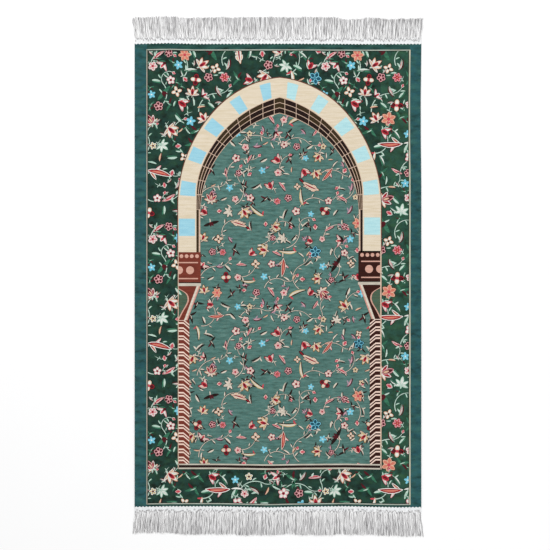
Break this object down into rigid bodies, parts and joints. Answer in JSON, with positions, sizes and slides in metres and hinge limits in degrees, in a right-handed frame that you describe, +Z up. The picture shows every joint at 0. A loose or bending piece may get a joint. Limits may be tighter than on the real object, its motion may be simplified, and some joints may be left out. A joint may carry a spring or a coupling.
{
  "type": "prayer rug",
  "caption": "Flat rectangular woven prayer rug with an arched niche, a floral border and field, and a white fringe along each end.",
  "frame": {"origin": "on the surface that the rug lies on, below the middle of its whole outline, fringes included", "axes": "+Y along the rug from its foot end to its arch end, +X to its right seen from above with the arch away, +Z up out of its face"},
  "size_m": [0.6908, 1.236, 0.003],
  "materials": {
    "chenille_pile": "dull short chenille pile, teal and dark green with a floral pattern in cream, mint, sky blue and red",
    "cotton_fringe": "dull off-white cotton yarn"
  },
  "bodies": {
    "root": {"rug_body": "chenille_pile", "fringe_top": "cotton_fringe", "fringe_bottom": "cotton_fringe"}
  },
  "joints": []
}
